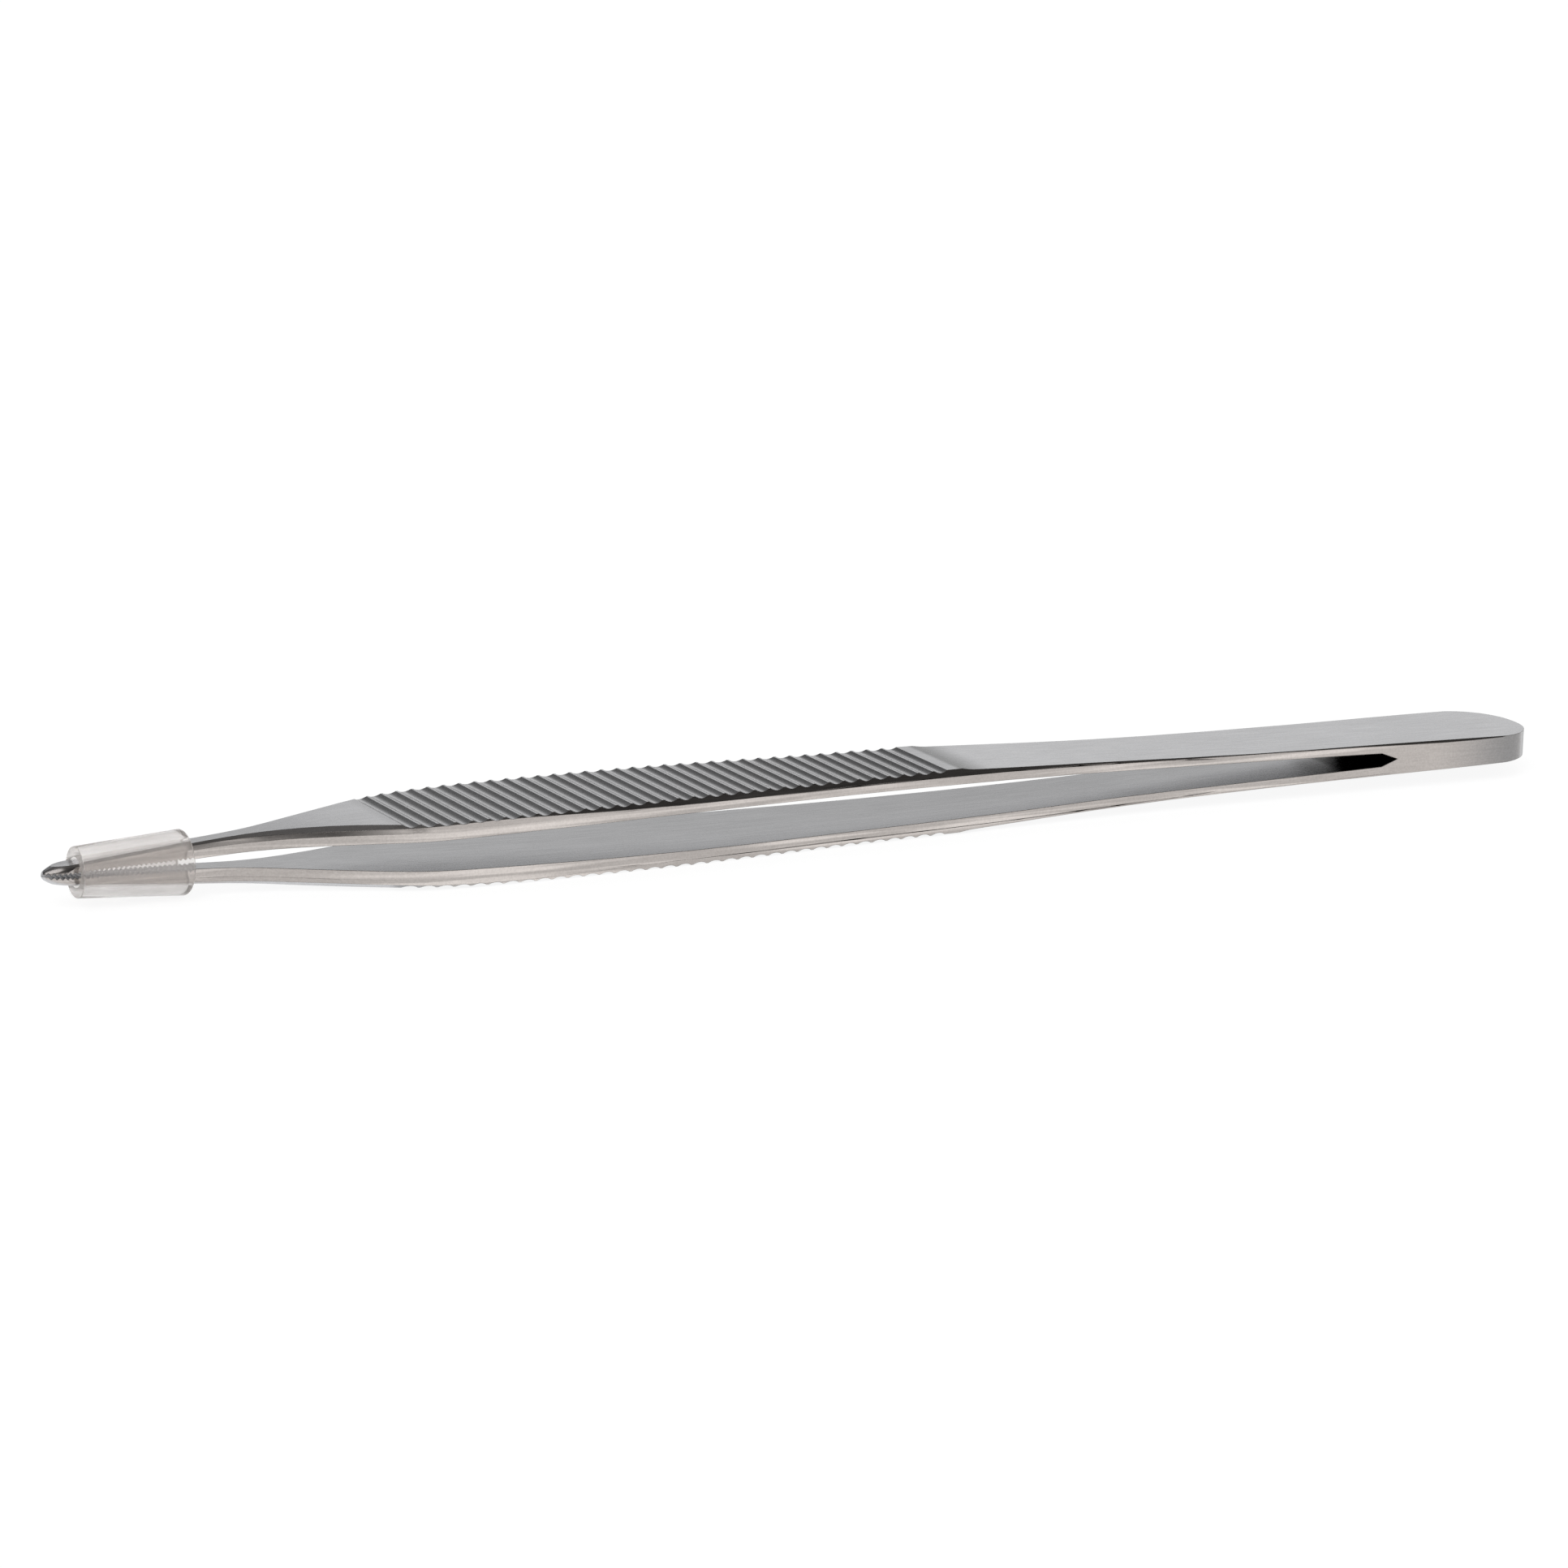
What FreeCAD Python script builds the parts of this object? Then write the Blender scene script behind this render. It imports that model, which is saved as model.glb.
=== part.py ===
import FreeCAD, Part
import math
import os

from FreeCAD import Vector

# Thumb forceps in millimetres: +X from the tips to the heel, +Y across, +Z up.
# The arms are built with the tips at X = 0 and the plane between them at Z = 0.
# Each node is then moved back by half the length, so the origin is the middle of the whole.

# Lengths along the forceps, from the tips
JAW_LENGTH = 13.4
TAPER_LENGTH = 16.8
GROOVE_COUNT = 35
GROOVE_PITCH = 1.5
FIRST_GROOVE = 0.8
LAST_GROOVE = 2.0
SPRING_LENGTH = 45.3
HEEL_LENGTH = 15.7

# Widths across, seen from above
TIP_WIDTH = 1.8
JAW_WIDTH = 2.0
NECK_WIDTH = 2.5
TAPER_WIDTH = 4.6
SHOULDER_WIDTH = 8.9
GRIP_START_WIDTH = 11.3
GRIP_FRONT_WIDTH = 12.4
GRIP_WIDTH = 12.6
GRIP_MIDDLE_WIDTH = 11.9
GRIP_BACK_WIDTH = 10.4
GRIP_END_WIDTH = 9.4
WAIST_WIDTH = 8.7
SPRING_WIDTH = 9.2
SLOT_WIDTH = 9.8
HEEL_WIDTH = 10.5

# Open gap between the inner faces of the two arms
TIP_GAP = 0.10
JAW_GAP = 0.86
NECK_GAP = 1.34
TAPER_GAP = 1.80
SHOULDER_GAP = 2.30
GRIP_START_GAP = 2.50
GRIP_FRONT_GAP = 2.76
GRIP_GAP = 3.08
GRIP_MIDDLE_GAP = 3.32
GRIP_BACK_GAP = 3.24
GRIP_END_GAP = 2.96
WAIST_GAP = 2.40
SPRING_GAP = 1.82
SLOT_GAP = 1.24

# Thickness of one arm as forged, before its spring is ground
TIP_THICKNESS = 0.60
JAW_THICKNESS = 1.33
NECK_THICKNESS = 1.45
TAPER_THICKNESS = 1.53
GRIP_FRONT_THICKNESS = 1.47
GRIP_THICKNESS = 1.34
WAIST_THICKNESS = 1.28
HEEL_THICKNESS = 1.75

# Ground outer face of the spring, as heights above the mid-plane
SPRING_START_HEIGHT = 2.66
WAIST_HEIGHT = 2.09
SPRING_HEIGHT = 1.66
SLOT_HEIGHT = 1.43
HEEL_END_HEIGHT = 1.15
GRIND_RUNOUT = 2.2

# Edges (width, depth) and flanks of the arms
JAW_EDGE = (0.28, 0.18)
TAPER_EDGE = (0.60, 0.34)
FRONT_EDGE = (0.12, 0.16)
GRIP_EDGE = (0.30, 0.60)
FLANK_LEAN = 0.13
FLANK_HEIGHT = 0.78

# Grip grooves
GROOVE_RADIUS = 1.15
GROOVE_DEPTH = 0.20

# Jaw teeth
TOOTH_PITCH = 0.43
TOOTH_DEPTH = 0.19
TOOTH_LAND = 0.04
FIRST_TOOTH = 0.45

# Rounded ends, and the pointed end of the slot between the arms
NOSE_LENGTH = 3.0
NOSE_RADIUS = 0.50
HEEL_CORNER_RADIUS = 4.8
HEEL_END_RADIUS = 8.0
SLOT_SHOULDER = 0.9
SLOT_NOTCH = 0.28
SLOT_POINT = 0.8

# Tip guard
GUARD_START = 3.0
GUARD_LENGTH = 9.7
GUARD_WALL = 0.87
GUARD_CLEARANCE = 0.06
GUARD_LIP = 0.30
GUARD_RIM = 0.12

# Places worked out from the lengths, and shares of the spring's length
X_GRIP = JAW_LENGTH + TAPER_LENGTH
X_GROOVE = X_GRIP + FIRST_GROOVE
X_GRIP_END = X_GROOVE + (GROOVE_COUNT - 1) * GROOVE_PITCH + LAST_GROOVE
X_HEEL = X_GRIP_END + SPRING_LENGTH
X_END = X_HEEL + HEEL_LENGTH
WAIST_SHARE = 0.355
SPRING_SHARE = 0.66

# Cutters reach this far past what they cut, and this little where they only meet a crest
CLEAR = 1.0
CREST_MARGIN = 0.05
ALONG = Vector(1, 0, 0)


class Station:
    """One cross-section of a forged arm, with its places measured from the mid-plane."""

    def __init__(self, x, width, gap, thickness, edge, lean=0.0, flank=FLANK_HEIGHT):
        self.x = x
        self.half = width / 2
        self.inner = gap / 2
        self.crest = self.inner + thickness
        self.edge_width, self.edge_depth = edge
        self.lean = lean
        self.flank = self.inner + flank

    def wire(self):
        """Outline from the mid-plane, up the leaning flanks, to the flat outer face."""
        side = [
            (self.half, 0.0),
            (self.half, self.flank),
            (self.half - self.lean, self.crest - self.edge_depth),
            (self.half - self.edge_width, self.crest),
        ]
        right = [Vector(self.x, y, z) for y, z in side]
        left = [Vector(self.x, -y, z) for y, z in reversed(side)]
        return Part.makePolygon(right + left + right[:1])


def mix(start, end, share):
    """Value at a share of the way from start to end."""
    return start + (end - start) * share


def blend(start, end, share):
    """Edge width and depth at a share of the way between two edges."""
    return tuple(mix(a, b, share) for a, b in zip(start, end))


def jaw_stations():
    """Straight jaw: even steps from the tip to its root."""
    steps = 3
    found = []
    for step in range(steps + 1):
        share = step / steps
        found.append(Station(
            mix(0.0, JAW_LENGTH, share),
            mix(TIP_WIDTH, JAW_WIDTH, share),
            mix(TIP_GAP, JAW_GAP, share),
            mix(TIP_THICKNESS, JAW_THICKNESS, share),
            JAW_EDGE,
            mix(0.0, FLANK_LEAN, share),
            mix(TIP_THICKNESS / 2, FLANK_HEIGHT, share),
        ))
    return found


def taper_stations():
    """Bevelled taper, widening from the jaw to the grip."""
    edge = blend(JAW_EDGE, TAPER_EDGE, 0.4)
    run = [
        (0.27, NECK_WIDTH, NECK_GAP, NECK_THICKNESS, edge),
        (0.51, TAPER_WIDTH, TAPER_GAP, TAPER_THICKNESS, TAPER_EDGE),
        (0.87, SHOULDER_WIDTH, SHOULDER_GAP, TAPER_THICKNESS, TAPER_EDGE),
    ]
    return [Station(mix(JAW_LENGTH, X_GRIP, share), *rest, FLANK_LEAN) for share, *rest in run]


def grip_stations():
    """Grip, widest near its front."""
    start = blend(TAPER_EDGE, FRONT_EDGE, 0.6)
    rising = blend(FRONT_EDGE, GRIP_EDGE, 0.55)
    thickness = mix(GRIP_FRONT_THICKNESS, GRIP_THICKNESS, 0.4)
    run = [
        (0.03, GRIP_START_WIDTH, GRIP_START_GAP, GRIP_FRONT_THICKNESS, start, FLANK_LEAN / 2),
        (0.145, GRIP_FRONT_WIDTH, GRIP_FRONT_GAP, GRIP_FRONT_THICKNESS, FRONT_EDGE),
        (0.33, GRIP_WIDTH, GRIP_GAP, thickness, rising),
        (0.555, GRIP_MIDDLE_WIDTH, GRIP_MIDDLE_GAP, GRIP_THICKNESS, GRIP_EDGE),
        (0.815, GRIP_BACK_WIDTH, GRIP_BACK_GAP, WAIST_THICKNESS, GRIP_EDGE),
    ]
    return [Station(mix(X_GRIP, X_GRIP_END, share), *rest) for share, *rest in run]


def spring_stations():
    """Spring, with a waist, and the section where the slot starts to close."""
    low_flank = (0.0, FLANK_HEIGHT / 2)
    run = [
        (0.09, GRIP_END_WIDTH, GRIP_END_GAP, GRIP_THICKNESS, GRIP_EDGE),
        (WAIST_SHARE, WAIST_WIDTH, WAIST_GAP, WAIST_THICKNESS, GRIP_EDGE),
        (SPRING_SHARE, SPRING_WIDTH, SPRING_GAP, WAIST_THICKNESS, GRIP_EDGE, *low_flank),
    ]
    found = [Station(mix(X_GRIP_END, X_HEEL, share), *rest) for share, *rest in run]
    x_slot = X_HEEL - SLOT_SHOULDER - SLOT_POINT
    found.append(Station(x_slot, SLOT_WIDTH, SLOT_GAP, WAIST_THICKNESS, GRIP_EDGE, *low_flank))
    return found


def heel_stations():
    """Heel, where the two arms meet."""
    flank = HEEL_THICKNESS / 2
    run = [(0.28, mix(SLOT_WIDTH, HEEL_WIDTH, 0.7)), (0.64, HEEL_WIDTH), (1.0, HEEL_WIDTH)]
    return [
        Station(mix(X_HEEL, X_END, share), width, 0.0, HEEL_THICKNESS, GRIP_EDGE, 0.0, flank)
        for share, width in run
    ]


def across(profile):
    """Solid of a closed X-Z wire, drawn through the full width of the forceps."""
    reach = max(GRIP_WIDTH, HEEL_WIDTH) + 2 * CLEAR
    face = Part.Face(profile)
    face.translate(Vector(0, -reach / 2, 0))
    return face.extrude(Vector(0, reach, 0))


def spline(points):
    """Smooth edge through X-Z points."""
    curve = Part.BSplineCurve()
    curve.interpolate([Vector(x, 0, z) for x, z in points])
    return curve.toShape()


def line_path(points):
    """Straight edges through X-Z points."""
    vectors = [Vector(x, 0, z) for x, z in points]
    return [Part.makeLine(a, b) for a, b in zip(vectors, vectors[1:])]


def crest_height(body, x):
    """Height of the outer face on the centre line."""
    probe = Part.makeLine(Vector(x, 0, 0), Vector(x, 0, GRIP_WIDTH))
    return probe.common(body).BoundBox.ZMax


def gap_cutter():
    """Space between the arms, from the tips to the pointed end of the slot."""
    bending = jaw_stations()[-1:] + taper_stations() + grip_stations() + spring_stations()
    inner = [(s.x, s.inner) for s in bending]
    slope = (JAW_GAP - TIP_GAP) / 2 / JAW_LENGTH
    start = (-CLEAR, TIP_GAP / 2 - slope * CLEAR)
    x_slot, z_slot = inner[-1]
    edges = line_path([start, inner[0]])
    edges.append(spline(inner))
    edges += line_path([
        (x_slot, z_slot),
        (x_slot + SLOT_SHOULDER, SLOT_NOTCH),
        (X_HEEL, 0.0),
        (X_HEEL, -CLEAR),
        (-CLEAR, -CLEAR),
        start,
    ])
    return across(Part.Wire(edges))


def spring_grind(body):
    """What is ground off outside the spring and heel, with a hollow run-out at the grip."""
    x_flat = X_GRIP_END + GRIND_RUNOUT
    crest = crest_height(body, X_GRIP_END) + CREST_MARGIN
    middle = mix(X_GRIP_END, x_flat, 0.5), mix(SPRING_START_HEIGHT, crest, 0.25)
    runout = Part.Arc(
        Vector(X_GRIP_END, 0, crest),
        Vector(middle[0], 0, middle[1]),
        Vector(x_flat, 0, SPRING_START_HEIGHT),
    ).toShape()
    flat = spline([
        (x_flat, SPRING_START_HEIGHT),
        (mix(X_GRIP_END, X_HEEL, WAIST_SHARE), WAIST_HEIGHT),
        (mix(X_GRIP_END, X_HEEL, SPRING_SHARE), SPRING_HEIGHT),
        (X_HEEL, SLOT_HEIGHT),
        (X_END, HEEL_END_HEIGHT),
    ])
    top = crest + CLEAR
    rest = line_path([
        (X_END, HEEL_END_HEIGHT),
        (X_END + CLEAR, HEEL_END_HEIGHT),
        (X_END + CLEAR, top),
        (X_GRIP_END, top),
        (X_GRIP_END, crest),
    ])
    return across(Part.Wire([runout, flat] + rest))


def grip_grooves(body):
    """Round-bottomed grooves straight across the grip, each at one depth below the crest."""
    reach = GRIP_WIDTH + 2 * CLEAR
    cutters = []
    for index in range(GROOVE_COUNT):
        x = X_GROOVE + index * GROOVE_PITCH
        z = crest_height(body, x) - GROOVE_DEPTH + GROOVE_RADIUS
        cutters.append(Part.makeCylinder(GROOVE_RADIUS, reach, Vector(x, -reach / 2, z), Vector(0, 1, 0)))
    return cutters


def heel_trim():
    """What lies outside the rounded end of the heel, seen from above."""
    half = HEEL_WIDTH / 2
    end_centre = X_END - HEEL_END_RADIUS
    reach = HEEL_END_RADIUS - HEEL_CORNER_RADIUS
    rise = half - HEEL_CORNER_RADIUS
    x_corner = end_centre + math.sqrt(reach ** 2 - rise ** 2)
    angle = math.atan2(rise, x_corner - end_centre)

    def corner(turn, side):
        x = x_corner + HEEL_CORNER_RADIUS * math.cos(turn)
        return Vector(x, side * (rise + HEEL_CORNER_RADIUS * math.sin(turn)), 0)

    half_turn = math.pi / 2
    start = corner(half_turn, -1)
    finish = corner(half_turn, 1)
    edges = [
        Part.Arc(start, corner(mix(half_turn, angle, 0.5), -1), corner(angle, -1)).toShape(),
        Part.Arc(corner(angle, -1), Vector(X_END, 0, 0), corner(angle, 1)).toShape(),
        Part.Arc(corner(angle, 1), corner(mix(half_turn, angle, 0.5), 1), finish).toShape(),
    ]
    outer = [
        finish,
        Vector(x_corner, half + CLEAR, 0),
        Vector(X_END + CLEAR, half + CLEAR, 0),
        Vector(X_END + CLEAR, -half - CLEAR, 0),
        Vector(x_corner, -half - CLEAR, 0),
        start,
    ]
    edges += [Part.makeLine(a, b) for a, b in zip(outer, outer[1:])]
    face = Part.Face(Part.Wire(edges))
    face.translate(Vector(0, 0, -CLEAR))
    return face.extrude(Vector(0, 0, HEEL_THICKNESS + 2 * CLEAR))


def arm_reach(arm, x):
    """Greatest distance of an arm's section from the centre line."""
    section = arm.slice(ALONG, x)[0]
    return max(math.hypot(v.Y, v.Z) for v in section.Vertexes)


def nose_trim(body):
    """What lies outside the rounded nose: a ball that runs on into a long rounding."""
    reach = arm_reach(body, NOSE_LENGTH)
    ball = NOSE_RADIUS
    run = NOSE_LENGTH - ball
    flank = (run ** 2 + reach ** 2 - ball ** 2) / (2 * (reach - ball))
    angle = math.atan2(flank - reach, run)

    def on_ball(turn):
        return Vector(ball - ball * math.cos(turn), ball * math.sin(turn), 0)

    def on_flank(turn):
        return Vector(NOSE_LENGTH - flank * math.cos(turn), reach - flank + flank * math.sin(turn), 0)

    end = on_flank(math.pi / 2)
    meet = on_flank(angle)
    edges = [
        Part.Arc(on_ball(0), on_ball(angle / 2), meet).toShape(),
        Part.Arc(meet, on_flank(mix(angle, math.pi / 2, 0.5)), end).toShape(),
    ]
    outer = [end, Vector(NOSE_LENGTH, reach + CLEAR, 0), Vector(-CLEAR, reach + CLEAR, 0)]
    outer += [Vector(-CLEAR, 0, 0), Vector()]
    edges += [Part.makeLine(a, b) for a, b in zip(outer, outer[1:])]
    return Part.Face(Part.Wire(edges)).revolve(Vector(), ALONG, 360)


def jaw_teeth(shift):
    """V cuts across the inner face of a jaw, moved along it by a share of the pitch."""
    slope = (JAW_GAP - TIP_GAP) / 2 / JAW_LENGTH
    count = int((JAW_LENGTH - FIRST_TOOTH) / TOOTH_PITCH)
    half = (TOOTH_PITCH - TOOTH_LAND) / 2
    cutters = []
    for index in range(count):
        x = FIRST_TOOTH + (index + shift) * TOOTH_PITCH
        z = TIP_GAP / 2 + slope * x
        spread = half * (1 + CLEAR / TOOTH_DEPTH)
        cut = line_path([
            (x - spread, z - CLEAR),
            (x, z + TOOTH_DEPTH),
            (x + spread, z - CLEAR),
            (x - spread, z - CLEAR),
        ])
        cutters.append(across(Part.Wire(cut)))
    return cutters


def forged_arm():
    """Arm without its teeth: lofted, ground along the spring and grooved at the grip."""
    run = jaw_stations() + taper_stations() + grip_stations() + spring_stations() + heel_stations()
    body = Part.makeLoft([s.wire() for s in run], True, False)
    grooves = grip_grooves(body)
    body = body.cut(spring_grind(body))
    body = body.cut(gap_cutter())
    body = body.cut([heel_trim(), nose_trim(body)])
    return body.cut(grooves)


def toothed_arm(blank, shift):
    """Upper arm with its teeth at one phase."""
    return blank.cut(jaw_teeth(shift))


def sleeve(rings):
    """Solid through rings given as (place along, radius), straight from each to the next."""
    wires = [Part.Wire(Part.makeCircle(radius, Vector(x, 0, 0), ALONG)) for x, radius in rings]
    return Part.makeLoft(wires, True, True)


def tip_guard(arm):
    """Tapered sleeve pushed over both tips, open at both ends, with a rounded back lip."""
    x_back = GUARD_START + GUARD_LENGTH
    bore_front = arm_reach(arm, GUARD_START) + GUARD_CLEARANCE
    bore_back = arm_reach(arm, x_back) + GUARD_CLEARANCE
    outer_front = bore_front + GUARD_WALL
    outer_back = bore_back + GUARD_WALL
    rings = [(GUARD_START, outer_front - GUARD_RIM), (GUARD_START + GUARD_RIM, outer_front)]
    for degrees in (0, 45, 90):
        turn = math.radians(degrees)
        x = x_back - GUARD_LIP * (1 - math.sin(turn))
        rings.append((x, outer_back - GUARD_LIP * (1 - math.cos(turn))))
    slope = (bore_back - bore_front) / GUARD_LENGTH
    bore = sleeve([
        (GUARD_START - CLEAR, bore_front - slope * CLEAR),
        (x_back + CLEAR, bore_back + slope * CLEAR),
    ])
    return sleeve(rings).cut(bore)


def export(shape, name):
    """Write a node with the middle of the forceps at the origin."""
    node = shape.copy()
    node.translate(Vector(-X_END / 2, 0, 0))
    node.exportStep("parts/" + name + ".step")
    print(name, "valid", node.isValid(), "solids", len(node.Solids), "volume", round(node.Volume, 2))


def main():
    """Build the three nodes."""
    os.makedirs("parts", exist_ok=True)
    blank = forged_arm()
    export(toothed_arm(blank, 0.0), "upper_arm")
    export(toothed_arm(blank, 0.5).mirror(Vector(), Vector(0, 0, 1)), "lower_arm")
    export(tip_guard(blank), "tip_guard")


main()
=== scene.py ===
"""Thumb forceps with a tip guard on a plain white table."""

from __future__ import annotations

import logging
import math
from dataclasses import dataclass, field
from enum import Enum

import bpy
from mathutils import Matrix, Vector

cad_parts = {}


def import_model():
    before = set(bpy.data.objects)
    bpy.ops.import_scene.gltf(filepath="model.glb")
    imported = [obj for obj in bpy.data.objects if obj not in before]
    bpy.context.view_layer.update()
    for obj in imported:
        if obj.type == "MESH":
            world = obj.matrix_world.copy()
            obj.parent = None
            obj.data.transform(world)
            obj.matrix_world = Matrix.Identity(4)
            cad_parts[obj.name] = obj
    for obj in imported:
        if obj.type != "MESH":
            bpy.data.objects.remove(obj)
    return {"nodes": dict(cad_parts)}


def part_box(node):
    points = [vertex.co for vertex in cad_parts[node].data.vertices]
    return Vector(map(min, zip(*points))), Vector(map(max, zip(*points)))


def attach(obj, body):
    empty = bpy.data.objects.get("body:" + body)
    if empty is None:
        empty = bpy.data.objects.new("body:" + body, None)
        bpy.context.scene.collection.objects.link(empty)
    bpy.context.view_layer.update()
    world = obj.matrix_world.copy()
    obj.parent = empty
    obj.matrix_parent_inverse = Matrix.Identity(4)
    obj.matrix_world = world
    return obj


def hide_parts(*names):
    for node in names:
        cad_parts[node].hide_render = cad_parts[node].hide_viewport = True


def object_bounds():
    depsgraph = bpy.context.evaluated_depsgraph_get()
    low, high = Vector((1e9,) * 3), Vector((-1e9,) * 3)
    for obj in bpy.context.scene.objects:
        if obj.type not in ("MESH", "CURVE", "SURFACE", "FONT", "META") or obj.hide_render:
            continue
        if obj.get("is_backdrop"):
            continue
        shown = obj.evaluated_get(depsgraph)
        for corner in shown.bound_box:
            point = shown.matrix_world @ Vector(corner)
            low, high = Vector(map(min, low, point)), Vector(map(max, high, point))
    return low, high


LOG = logging.getLogger("forceps")
MM = 0.001
Colour = tuple[float, float, float]
Span = tuple[float, float]
Socket = bpy.types.NodeSocket


class Slot(Enum):
    """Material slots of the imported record."""

    STEEL = "steel"
    GUARD = "guard_plastic"


class Graph:
    """Small helper that adds and links shader nodes in one tree."""

    def __init__(self, tree: bpy.types.NodeTree) -> None:
        """Start from an empty tree.

        Args:
            tree: The node tree to fill.
        """
        self.tree = tree
        tree.nodes.clear()

    def node(self, kind: str, inputs: dict | None = None, **settings: object) -> bpy.types.Node:
        """Add a node.

        Args:
            kind: Node type name.
            inputs: Input name or index to a value or to an output socket.
            **settings: Attributes of the node.

        Returns:
            The new node.
        """
        made = self.tree.nodes.new(kind)
        for name, value in settings.items():
            setattr(made, name, value)
        for key, value in (inputs or {}).items():
            self.feed(made.inputs[key], value)
        return made

    def feed(self, socket: bpy.types.NodeSocket, value: object) -> None:
        """Link a socket to an output, or set its value.

        Args:
            socket: The input socket.
            value: An output socket, a number or a tuple.
        """
        if isinstance(value, bpy.types.NodeSocket):
            self.tree.links.new(value, socket)
        else:
            socket.default_value = value

    def math(self, operation: str, *values: object, clamp: bool = False) -> Socket:
        """Add a Math node.

        Args:
            operation: Name of the operation.
            *values: Its inputs.
            clamp: Whether to keep the result between 0 and 1.

        Returns:
            The value socket.
        """
        inputs = dict(enumerate(values))
        return self.node("ShaderNodeMath", inputs, operation=operation, use_clamp=clamp).outputs[0]

    def ramp(
        self, value: object, low: float, high: float, start: float = 0.0, end: float = 1.0
    ) -> Socket:
        """Map a range smoothly onto another.

        Args:
            value: Input socket.
            low: Input at which the result is start.
            high: Input at which the result is end.
            start: Result at low.
            end: Result at high.

        Returns:
            The value socket.
        """
        inputs = {"Value": value, "From Min": low, "From Max": high, "To Min": start, "To Max": end}
        return self.node("ShaderNodeMapRange", inputs, interpolation_type="SMOOTHSTEP").outputs[0]

    def both(self, first: Socket, *others: Socket) -> Socket:
        """Multiply sockets together.

        Args:
            first: The first of them.
            *others: The rest.

        Returns:
            The value socket.
        """
        for other in others:
            first = self.math("MULTIPLY", first, other)
        return first

    def noise(self, place: Socket, scale: float, detail: float) -> Socket:
        """Add noise.

        Args:
            place: Coordinates.
            scale: Marks to a unit of the coordinates.
            detail: Layers of noise.

        Returns:
            The value socket.
        """
        inputs = {"Vector": place, "Scale": scale, "Detail": detail}
        return self.node("ShaderNodeTexNoise", inputs).outputs[0]

    def mix_colour(self, factor: object, first: object, second: object) -> Socket:
        """Blend two colours.

        Args:
            factor: Share of the second.
            first: Colour or socket.
            second: Colour or socket.

        Returns:
            The colour socket.
        """
        made = self.node("ShaderNodeMix", data_type="RGBA")
        self.feed(made.inputs["Factor"], factor)
        self.feed(made.inputs[6], first)
        self.feed(made.inputs[7], second)
        return made.outputs[2]

    def seen(self) -> Socket:
        """Return 1 on camera, glossy and transmission rays, and 0 on the rest."""
        path = self.node("ShaderNodeLightPath")
        first = self.math("MAXIMUM", path.outputs["Is Camera Ray"], path.outputs["Is Glossy Ray"])
        return self.math("MAXIMUM", first, path.outputs["Is Transmission Ray"])


def rgba(colour: Colour) -> tuple[float, float, float, float]:
    """Add full alpha to a colour."""
    return (*colour, 1.0)


def new_material(name: str) -> tuple[bpy.types.Material, Graph]:
    """Make an empty node material.

    Args:
        name: Its name.

    Returns:
        The material and its graph.
    """
    material = bpy.data.materials.new(name)
    material.use_nodes = True
    return material, Graph(material.node_tree)


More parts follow.
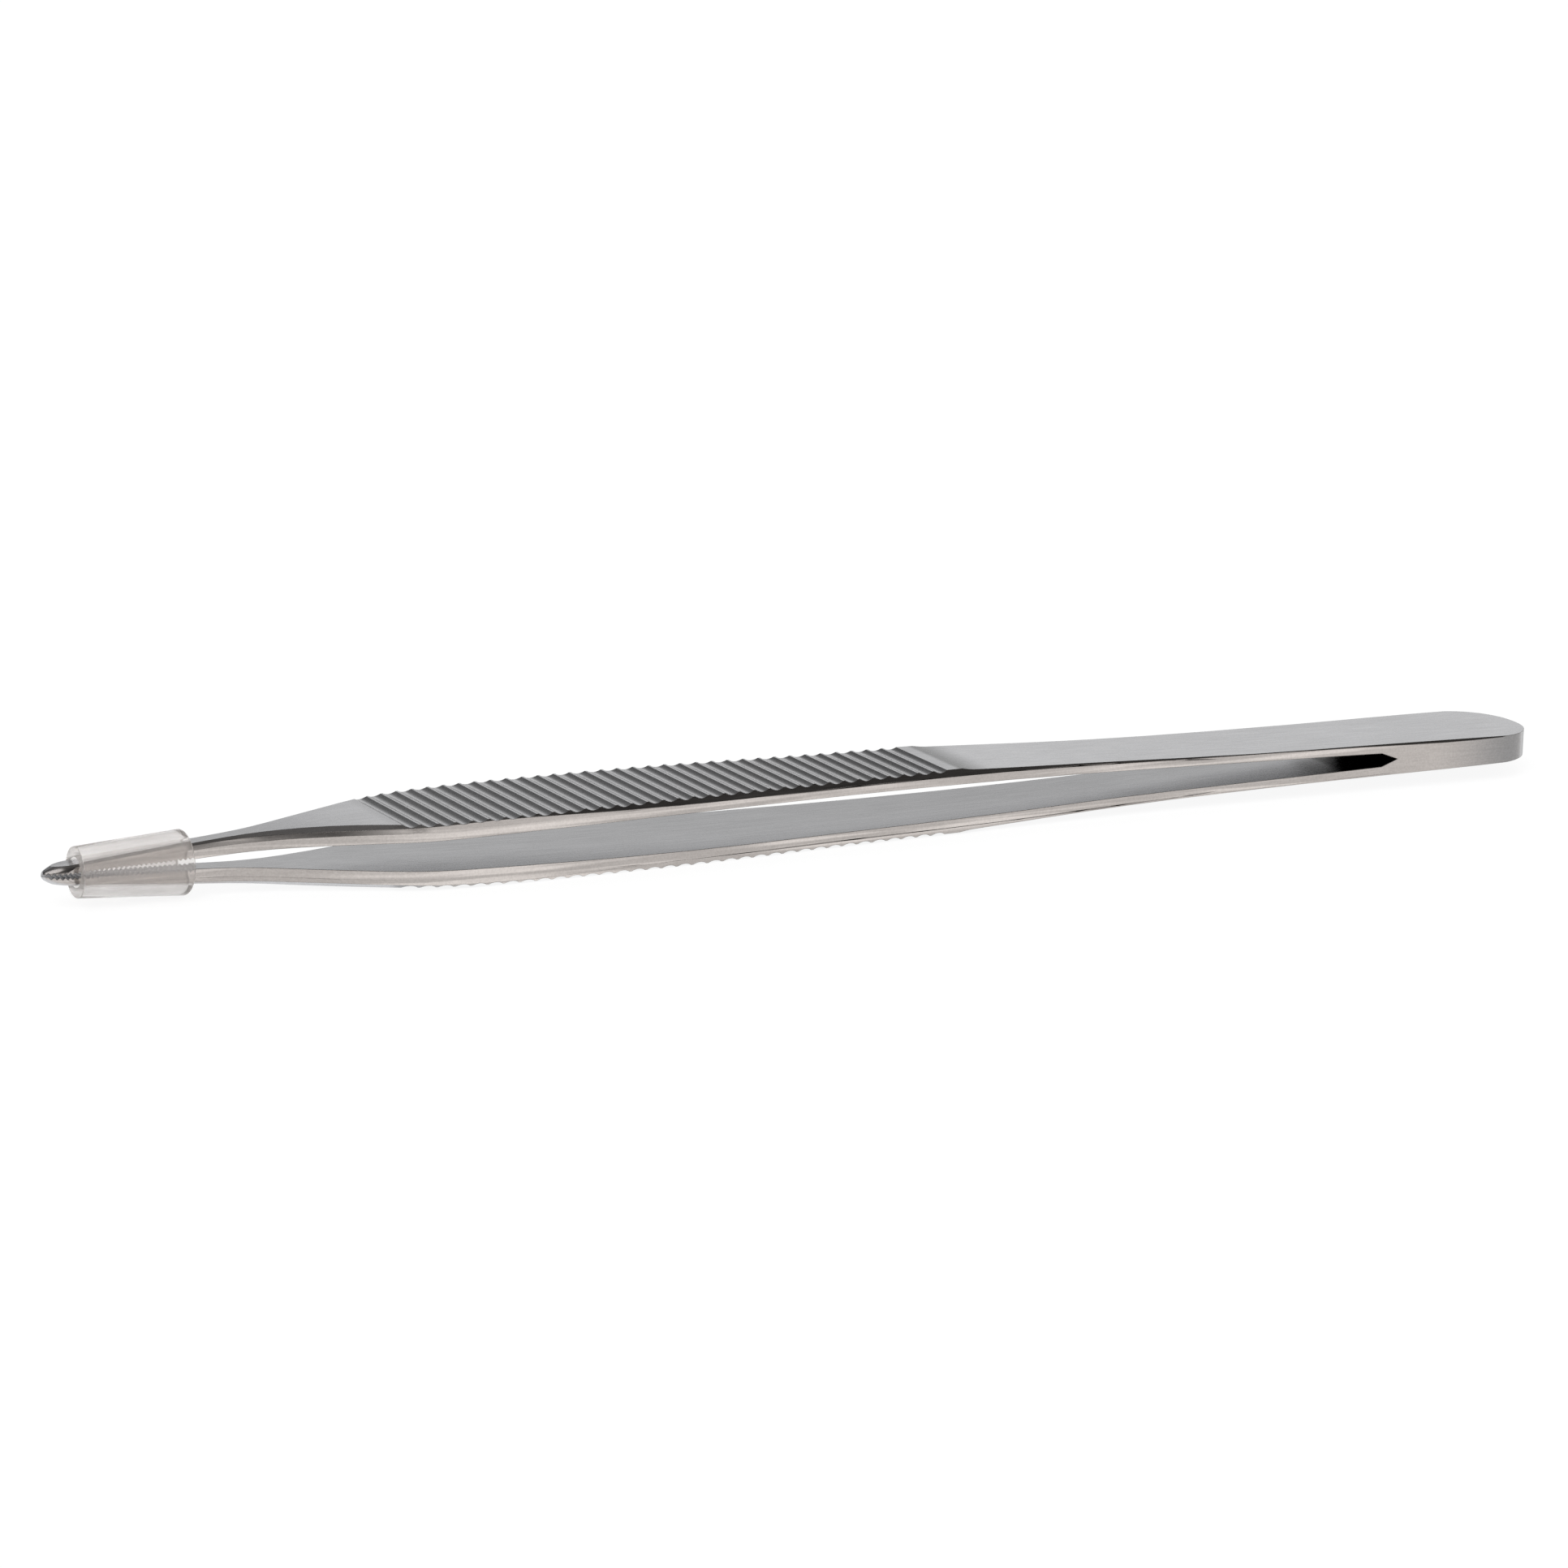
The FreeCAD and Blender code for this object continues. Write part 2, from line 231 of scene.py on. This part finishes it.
@dataclass(frozen=True)
class SteelFinish:
    """Stainless steel: satin faces with a fine lengthwise grain, and polished sides.

    Places along the forceps are measured from the middle, towards the heel. A lean is a part of the
    normal, from 0 to 1.
    """

    face: Colour = (0.575, 0.575, 0.59)
    inner: Colour = (0.39, 0.39, 0.40)
    side: Colour = (0.53, 0.492, 0.468)
    # painted shade: near-black colour on the upward-leaning bevels, standing in for the dark they reflect
    bevel_painted_shade: Colour = (0.13, 0.12, 0.115)
    # painted shade for the groove walls and the hollow behind the grip
    groove_painted_shade: Colour = (0.12, 0.12, 0.122)
    # painted shade round the curved heel side
    heel_painted_shade: Colour = (0.27, 0.265, 0.265)
    # painted shade: near black inside the slot
    slot_painted_shade: Colour = (0.012, 0.011, 0.011)
    # painted shade: dark lines along the sharp edges
    edge_painted_shade: Colour = (0.10, 0.09, 0.085)
    face_roughness: float = 0.25
    side_roughness: float = 0.15
    grain_width: float = 0.10 * MM
    grain_length: float = 6.0 * MM
    grain_height: float = 0.0012 * MM
    streak_width: float = 0.45 * MM
    streak_length: float = 22.0 * MM
    # painted highlights: the side colour is darkened and brightened along long streaks
    highlight_streak_shares: Span = (0.86, 1.30)
    cloud_scale: float = 160.0
    speck_scale: float = 5200.0
    edge_radius: float = 0.08 * MM
    strong_edge: Span = (0.02, 0.08)
    weak_edge: Span = (0.003, 0.010)
    line_share: float = 0.75
    side_lean: Span = (0.62, 0.88)
    facing: Span = (0.3, 0.6)
    wall_lean: Span = (0.04, 0.30)
    wall_share: Span = (0.16, 0.54)
    bevel_lean: Span = (0.28, 0.42)
    bevel_end: Span = (0.955, 0.925)
    bevel_rise: Span = (0.15, 0.32)
    bevel_share: float = 0.9
    grip: Span = (-42.3 * MM, 11.0 * MM)
    grip_fade: float = 1.0 * MM
    runout: tuple[float, float, float] = (10.9 * MM, 11.8 * MM, 15.4 * MM)
    runout_share: float = 0.92
    slot: Span = (50.6 * MM, 51.6 * MM)
    joined: Span = (55.6 * MM, 57.1 * MM)
    seam: Span = (0.22 * MM, 0.11 * MM)
    heel_side: tuple[float, float, float] = (60.0 * MM, 69.5 * MM, 72.4 * MM)
    heel_fade: float = 12.0 * MM
    heel_share: float = 0.94
    heel_end_share: float = 0.45

    def stretched(self, graph: Graph, place: Socket, size: Colour, detail: float) -> Socket:
        """Add noise drawn out along the forceps.

        Args:
            graph: Graph to add to.
            place: Object coordinates.
            size: Size of one mark each way, or 0 where it runs on without end.
            detail: Layers of noise.

        Returns:
            The value socket.
        """
        scale = tuple(1 / part if part else 0.0 for part in size)
        drawn = graph.node("ShaderNodeMapping", {"Vector": place, "Scale": scale}).outputs[0]
        return graph.noise(drawn, 1.0, detail)

    def edge_lines(self, graph: Graph, soft: Socket, flank: Socket) -> Socket:
        """Find the sharp edges, where dark lines of shade are painted, from how far the softened normal leans
        from the face's own.

        Args:
            graph: Graph to add to.
            soft: Softened normal.
            flank: 1 on the sides, where weaker edges count too.

        Returns:
            Socket that is 1 on an edge and 0 away from it.
        """
        own = graph.node("ShaderNodeNewGeometry").outputs["True Normal"]
        dot = graph.node("ShaderNodeVectorMath", {0: soft, 1: own}, operation="DOT_PRODUCT").outputs["Value"]
        lean = graph.math("SUBTRACT", 1.0, dot)
        weak = graph.both(graph.ramp(lean, *self.weak_edge), flank)
        return graph.math("MAXIMUM", graph.ramp(lean, *self.strong_edge), weak)

    def groove_and_hollow_shade(self, graph: Graph, along: Socket, lean: Socket, outside: Socket) -> Socket:
        """Find where shade is painted: on the groove walls, and in the hollow that runs out behind the grip.

        Args:
            graph: Graph to add to.
            along: Place along the forceps.
            lean: How far the normal leans along them.
            outside: 1 on outer faces.

        Returns:
            Share of the painted shade colour.
        """
        start, low, end = self.runout
        hollow = graph.both(graph.ramp(along, start, low), graph.ramp(along, end, low), outside)
        front, back = self.grip
        near = graph.ramp(along, front - self.grip_fade, front)
        far = graph.ramp(along, back + self.grip_fade, back)
        wall = graph.ramp(graph.math("ABSOLUTE", lean), *self.wall_lean, *self.wall_share)
        cut = graph.both(near, far, wall, outside)
        return graph.math("MAXIMUM", graph.math("MULTIPLY", hollow, self.runout_share), cut)

    def sides(self, graph: Graph, along: Socket, streak: Socket) -> Socket:
        """Colour the polished sides: painted highlight streaks along the arms, and painted shade fading to
        grey round the curved heel.

        Args:
            graph: Graph to add to.
            along: Place along the forceps.
            streak: Long streaks, for the painted highlights.

        Returns:
            The colour socket.
        """
        # Painted highlights: long streaks brighten and darken the side colour where the polish would catch
        # light.
        dull, bright = (rgba(tuple(part * share for part in self.side)) for share in self.highlight_streak_shares)
        streaked = graph.mix_colour(graph.ramp(streak, 0.42, 0.68), dull, bright)
        # Painted shade: the side turns grey round the curved heel, and lighter again at its end.
        start, low, end = self.heel_side
        heel = graph.both(graph.ramp(along, start, low), graph.ramp(along, end, low, self.heel_end_share))
        near = rgba(tuple(part * self.heel_share for part in self.side))
        plain = graph.mix_colour(heel, near, rgba(self.heel_painted_shade))
        return graph.mix_colour(graph.ramp(along, start - self.heel_fade, start), streaked, plain)

    def tone(self, graph: Graph, place: Socket, normal: Socket, streak: Socket) -> tuple[Socket, Socket]:
        """Colour each kind of face.

        Args:
            graph: Graph to add to.
            place: Object coordinates.
            normal: Object normal.
            streak: Long streaks, for the painted highlights on the polished sides.

        Returns:
            The colour, and how far a face is a polished side.
        """
        where = graph.node("ShaderNodeSeparateXYZ", {0: place})
        faces = graph.node("ShaderNodeSeparateXYZ", {0: normal})
        along = where.outputs["X"]
        across = graph.math("ABSOLUTE", faces.outputs["Y"])
        polished = graph.ramp(across, *self.side_lean)
        turned = graph.math("MULTIPLY", faces.outputs["Z"], graph.math("SIGN", where.outputs["Z"]))
        low, high = self.facing
        inside = graph.ramp(turned, -low, -high)
        outside = graph.ramp(turned, low, high)

        colour = graph.mix_colour(inside, rgba(self.face), rgba(self.inner))
        # Painted shade on the groove walls and in the hollow behind the grip.
        groove_and_hollow_shade = self.groove_and_hollow_shade(graph, along, faces.outputs["X"], outside)
        colour = graph.mix_colour(groove_and_hollow_shade, colour, rgba(self.groove_painted_shade))
        colour = graph.mix_colour(polished, colour, self.sides(graph, along, streak))

        # Painted shade: upward-leaning bevels are coloured near black for the dark they reflect.
        bevel_shade_mask = graph.both(
            graph.ramp(across, *self.bevel_lean),
            graph.ramp(across, *self.bevel_end),
            graph.ramp(faces.outputs["Z"], *self.bevel_rise),
        )
        colour = graph.mix_colour(graph.math("MULTIPLY", bevel_shade_mask, self.bevel_share), colour, rgba(self.bevel_painted_shade))

        # Painted shade: the inside of the slot near the heel is coloured near black.
        slot = graph.both(
            graph.ramp(along, *self.slot), graph.ramp(polished, 0.6, 0.3), graph.ramp(turned, 0.1, -0.1)
        )
        return graph.mix_colour(slot, colour, rgba(self.slot_painted_shade)), polished

    def softened(self, graph: Graph, place: Socket) -> tuple[Socket, Socket]:
        """Soften the edges in shading, apart from the seam where the arms are joined.

        Args:
            graph: Graph to add to.
            place: Object coordinates.

        Returns:
            The normal, and a socket that is 1 where the arms are joined.
        """
        where = graph.node("ShaderNodeSeparateXYZ", {0: place})
        joined = graph.ramp(where.outputs["X"], *self.joined)
        seam = graph.both(graph.ramp(graph.math("ABSOLUTE", where.outputs["Z"]), *self.seam), joined)
        soft = graph.node("ShaderNodeBevel", {"Radius": self.edge_radius}, samples=6).outputs[0]
        own = graph.node("ShaderNodeNewGeometry").outputs["Normal"]
        mixed = graph.node("ShaderNodeMix", {"Factor": seam, 4: soft, 5: own}, data_type="VECTOR")
        return mixed.outputs[1], joined

    def build(self) -> bpy.types.Material:
        """Build the material."""
        material, graph = new_material("satin steel")
        texture = graph.node("ShaderNodeTexCoord")
        place = texture.outputs["Object"]
        grain = self.stretched(graph, place, (self.grain_length, self.grain_width, self.grain_width), 2.0)
        streak = self.stretched(graph, place, (self.streak_length, 0.0, self.streak_width), 1.0)
        cloud = graph.noise(place, self.cloud_scale, 3.0)
        speck = graph.noise(place, self.speck_scale, 1.0)
        colour, polished = self.tone(graph, place, texture.outputs["Normal"], streak)
        soft, joined = self.softened(graph, place)
        line = self.edge_lines(graph, soft, graph.both(polished, graph.math("SUBTRACT", 1.0, joined)))
        # Painted shade: dark lines along the sharp edges, standing in for the dark they reflect.
        colour = graph.mix_colour(graph.math("MULTIPLY", line, self.line_share), colour, rgba(self.edge_painted_shade))
        shade = graph.math(
            "ADD", graph.ramp(grain, 0.25, 0.75, 0.93, 1.04), graph.ramp(cloud, 0.3, 0.7, -0.03, 0.02)
        )
        shade = graph.math("ADD", shade, graph.ramp(speck, 0.25, 0.75, -0.05, 0.05))
        colour = graph.node("ShaderNodeVectorMath", {0: colour, "Scale": shade}, operation="SCALE").outputs[0]
        base = graph.ramp(polished, 0.0, 1.0, self.face_roughness, self.side_roughness)
        rough = graph.math("ADD", base, graph.ramp(grain, 0.2, 0.8, -0.04, 0.05))
        strength = graph.ramp(polished, 0.0, 1.0, 0.7, 0.15)
        bump = graph.node(
            "ShaderNodeBump",
            {"Height": grain, "Strength": strength, "Distance": self.grain_height, "Normal": soft},
        )
        shader = graph.node(
            "ShaderNodeBsdfPrincipled",
            {"Base Color": colour, "Metallic": 1.0, "Roughness": rough, "Normal": bump.outputs[0]},
        )
        graph.node("ShaderNodeOutputMaterial", {"Surface": shader.outputs[0]})
        return material


@dataclass(frozen=True)
class GuardFinish:
    """Milky see-through plastic."""

    clear: Colour = (0.97, 0.955, 0.945)
    milk: Colour = (0.86, 0.82, 0.79)
    milk_share: float = 0.21
    milk_spread: float = 0.04
    roughness: float = 0.012
    roughness_spread: Span = (-0.01, 0.02)
    ior: float = 1.42
    cloud_scale: float = 420.0
    bump_strength: float = 0.05
    bump_height: float = 0.01 * MM

    def build(self) -> bpy.types.Material:
        """Build the material."""
        material, graph = new_material("milky plastic")
        place = graph.node("ShaderNodeTexCoord").outputs["Object"]
        cloud = graph.noise(place, self.cloud_scale, 3.0)
        low, high = (self.roughness + part for part in self.roughness_spread)
        bump = graph.node(
            "ShaderNodeBump", {"Height": cloud, "Strength": self.bump_strength, "Distance": self.bump_height}
        )
        clear = graph.node(
            "ShaderNodeBsdfPrincipled",
            {
                "Base Color": rgba(self.clear),
                "Roughness": graph.ramp(cloud, 0.3, 0.7, low, high),
                "IOR": self.ior,
                "Transmission Weight": 1.0,
                "Normal": bump.outputs[0],
            },
        )
        milk = graph.node("ShaderNodeBsdfDiffuse", {"Color": rgba(self.milk)})
        glow = graph.node("ShaderNodeBsdfTranslucent", {"Color": rgba(self.milk)})
        body = graph.node("ShaderNodeMixShader", {0: 0.5, 1: milk.outputs[0], 2: glow.outputs[0]})
        thin, thick = self.milk_share - self.milk_spread, self.milk_share + self.milk_spread
        share = graph.ramp(cloud, 0.3, 0.7, thin, thick)
        mixed = graph.node("ShaderNodeMixShader", {0: share, 1: clear.outputs[0], 2: body.outputs[0]})
        graph.node("ShaderNodeOutputMaterial", {"Surface": mixed.outputs[0]})
        return material


@dataclass(frozen=True)
class FloorFinish:
    """White table whose own light is seen only by the camera and by reflections."""

    colour: Colour = (0.20, 0.20, 0.20)
    lift: float = 0.85

    def build(self) -> bpy.types.Material:
        """Build the material."""
        material, graph = new_material("white table")
        diffuse = graph.node("ShaderNodeBsdfDiffuse", {"Color": rgba(self.colour)})
        strength = graph.math("MULTIPLY", graph.seen(), self.lift)
        glow = graph.node("ShaderNodeEmission", {"Color": rgba((1.0, 1.0, 1.0)), "Strength": strength})
        both = graph.node("ShaderNodeAddShader", {0: diffuse.outputs[0], 1: glow.outputs[0]})
        graph.node("ShaderNodeOutputMaterial", {"Surface": both.outputs[0]})
        return material


@dataclass(frozen=True)
class Arms:
    """The two steel arms, shown as they are in the frame."""

    nodes: tuple[str, str] = ("upper_arm", "lower_arm")
    finish: SteelFinish = field(default_factory=SteelFinish)

    def dress(self, objects: dict[str, bpy.types.Object]) -> None:
        """Give both arms their finish.

        Args:
            objects: The frame's nodes by name.
        """
        steel = self.finish.build()
        for name in self.nodes:
            arm = objects[name]
            arm.data.materials.clear()
            arm.data.materials.append(steel)


@dataclass(frozen=True)
class TipGuard:
    """Lathe-turned sleeve with rounded rims, on the place of the frame's guard."""

    node: str = "tip_guard"
    wall: float = 0.87 * MM
    front_rim: float = 0.08 * MM
    back_lip: float = 0.34 * MM
    segments: int = 96
    rim_steps: int = 6
    finish: GuardFinish = field(default_factory=GuardFinish)

    def profile(self) -> list[tuple[float, float]]:
        """Work out the (place along, radius) rings, from the front of the bore round to its back."""
        low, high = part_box(self.node)
        rings = self.end_radii()
        (front_in, front_out), (back_in, back_out) = rings
        points: list[tuple[float, float]] = [(low[0], front_in)]
        points += self.corner(low[0], front_out, self.front_rim, front=True)
        points += self.corner(high[0], back_out, self.back_lip, front=False)
        points.append((high[0], back_in))
        return points

    def end_radii(self) -> tuple[tuple[float, float], tuple[float, float]]:
        """Read the bore at each end from the frame's guard, and add the wall for the outer radius."""
        mesh = bpy.data.objects[self.node].data
        low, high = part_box(self.node)
        reach = 0.001 * MM

        def bore(place: float) -> float:
            radii = [math.hypot(v.co.y, v.co.z) for v in mesh.vertices if abs(v.co.x - place) < reach]
            return min(radii)

        front = bore(low[0])
        back = bore(high[0])
        return (front, front + self.wall), (back, back + self.wall)

    def corner(self, end: float, radius: float, size: float, front: bool) -> list[tuple[float, float]]:
        """Round one outer corner.

        Args:
            end: Place of the end face.
            radius: Outer radius there.
            size: Radius of the rounding.
            front: Whether it is the front end.

        Returns:
            Rings in walking order.
        """
        found = []
        for step in range(self.rim_steps + 1):
            share = step / self.rim_steps if front else 1 - step / self.rim_steps
            turn = math.pi / 2 * share
            place = size * (1 - math.cos(turn))
            sink = size * (1 - math.sin(turn))
            found.append((end + place if front else end - place, radius - sink))
        return found

    def build(self) -> bpy.types.Object:
        """Turn the profile into a closed sleeve.

        Returns:
            The new object, which takes the place of the frame's guard.
        """
        points = self.profile()
        bpy.ops.mesh.primitive_circle_add(
            vertices=self.segments,
            radius=points[0][1],
            location=(points[0][0], 0.0, 0.0),
            rotation=(0.0, math.pi / 2, 0.0),
        )
        sleeve = bpy.context.object
        sleeve.name = "guard_sleeve"
        bpy.ops.object.transform_apply(location=True, rotation=True, scale=True)
        bpy.ops.object.mode_set(mode="EDIT")
        bpy.ops.mesh.select_all(action="SELECT")
        for (x_from, r_from), (x_to, r_to) in zip(points, points[1:]):
            bpy.ops.mesh.extrude_region_move(TRANSFORM_OT_translate={"value": (x_to - x_from, 0.0, 0.0)})
            share = r_to / r_from
            bpy.ops.transform.resize(value=(1.0, share, share), center_override=(x_to, 0.0, 0.0))
        bpy.ops.mesh.select_all(action="DESELECT")
        bpy.ops.mesh.select_non_manifold(extend=False)
        bpy.ops.mesh.bridge_edge_loops()
        bpy.ops.mesh.select_all(action="SELECT")
        bpy.ops.mesh.normals_make_consistent(inside=False)
        bpy.ops.object.mode_set(mode="OBJECT")
        bpy.ops.object.shade_smooth_by_angle(angle=math.radians(35))
        sleeve.data.materials.append(self.finish.build())
        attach(sleeve, "root")
        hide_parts(self.node)
        return sleeve


@dataclass(frozen=True)
class Studio:
    """White table, soft light from above and a bright band round a dark ceiling."""

    size: float = 4.0
    daylight: float = 0.62
    key: float = 1.2
    key_angle: float = 40.0
    key_from: tuple[float, float, float] = (-0.5, -0.55, 0.67)
    band: tuple[tuple[float, float], ...] = (
        (0.0, 0.40),
        (0.08, 0.55),
        (0.14, 0.95),
        (0.24, 1.0),
        (0.31, 0.70),
        (0.40, 0.28),
        (0.55, 0.12),
        (0.75, 0.20),
        (1.0, 0.50),
    )
    finish: FloorFinish = field(default_factory=FloorFinish)

    def build(self, lowest: float) -> None:
        """Add the table, the world and the key light.

        Args:
            lowest: Height of the object's lowest point.
        """
        bpy.ops.mesh.primitive_plane_add(size=self.size, location=(0.0, 0.0, lowest))
        table = bpy.context.object
        table.name = "table"
        table.data.materials.append(self.finish.build())
        table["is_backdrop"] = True
        self.world()
        lamp = bpy.data.lights.new("key", "SUN")
        lamp.energy = self.key
        lamp.angle = math.radians(self.key_angle)
        holder = bpy.data.objects.new("key", lamp)
        holder.rotation_euler = Vector(self.key_from).to_track_quat("Z", "Y").to_euler()
        bpy.context.scene.collection.objects.link(holder)

    def world(self) -> None:
        """Build the surroundings: plain light, and for reflections a band that darkens upward."""
        world = bpy.data.worlds.new("studio")
        world.use_nodes = True
        bpy.context.scene.world = world
        graph = Graph(world.node_tree)
        place = graph.node("ShaderNodeTexCoord")
        parts = graph.node("ShaderNodeSeparateXYZ", {0: place.outputs["Generated"]})
        ramp = graph.node("ShaderNodeValToRGB", {0: parts.outputs["Z"]})
        elements = ramp.color_ramp.elements
        while len(elements) < len(self.band):
            elements.new(1.0)
        for element, (height, value) in zip(elements, self.band):
            element.position = height
            element.color = (value, value, value, 1.0)
        path = graph.node("ShaderNodeLightPath")
        shown = graph.math("MAXIMUM", path.outputs["Is Camera Ray"], path.outputs["Is Transmission Ray"])
        plain = graph.mix_colour(
            path.outputs["Is Glossy Ray"], rgba((self.daylight,) * 3), ramp.outputs[0]
        )
        white = graph.mix_colour(shown, plain, rgba((1.0, 1.0, 1.0)))
        background = graph.node("ShaderNodeBackground", {"Color": white, "Strength": 1.0})
        graph.node("ShaderNodeOutputWorld", {"Surface": background.outputs[0]})


@dataclass(frozen=True)
class Viewpoint:
    """Camera with a long lens, low in front of the forceps and to the left."""

    place: tuple[float, float, float] = (-0.27473, -0.50098, 0.13980)
    right: tuple[float, float, float] = (0.88246, -0.46939, 0.03067)
    up: tuple[float, float, float] = (0.08433, 0.22200, 0.97139)
    lens: float = 155.147

    def build(self) -> None:
        """Add the camera and make it the scene's."""
        right = Vector(self.right).normalized()
        back = right.cross(Vector(self.up)).normalized()
        up = back.cross(right)
        turn = Matrix((right, up, back)).transposed()
        data = bpy.data.cameras.new("camera")
        data.lens = self.lens
        data.sensor_width = 36.0
        data.clip_start = 0.01
        data.clip_end = 50.0
        camera = bpy.data.objects.new("camera", data)
        camera.matrix_world = Matrix.Translation(Vector(self.place)) @ turn.to_4x4()
        bpy.context.scene.collection.objects.link(camera)
        bpy.context.scene.camera = camera


def main() -> None:
    """Dress the frame, light it and place the camera."""
    logging.basicConfig(level=logging.INFO)
    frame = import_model()
    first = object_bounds()
    Arms().dress(frame["nodes"])
    TipGuard().build()
    Studio().build(first[0][2])
    Viewpoint().build()
    scene = bpy.context.scene
    scene.view_settings.view_transform = "Standard"


if __name__ == "__main__":
    main()
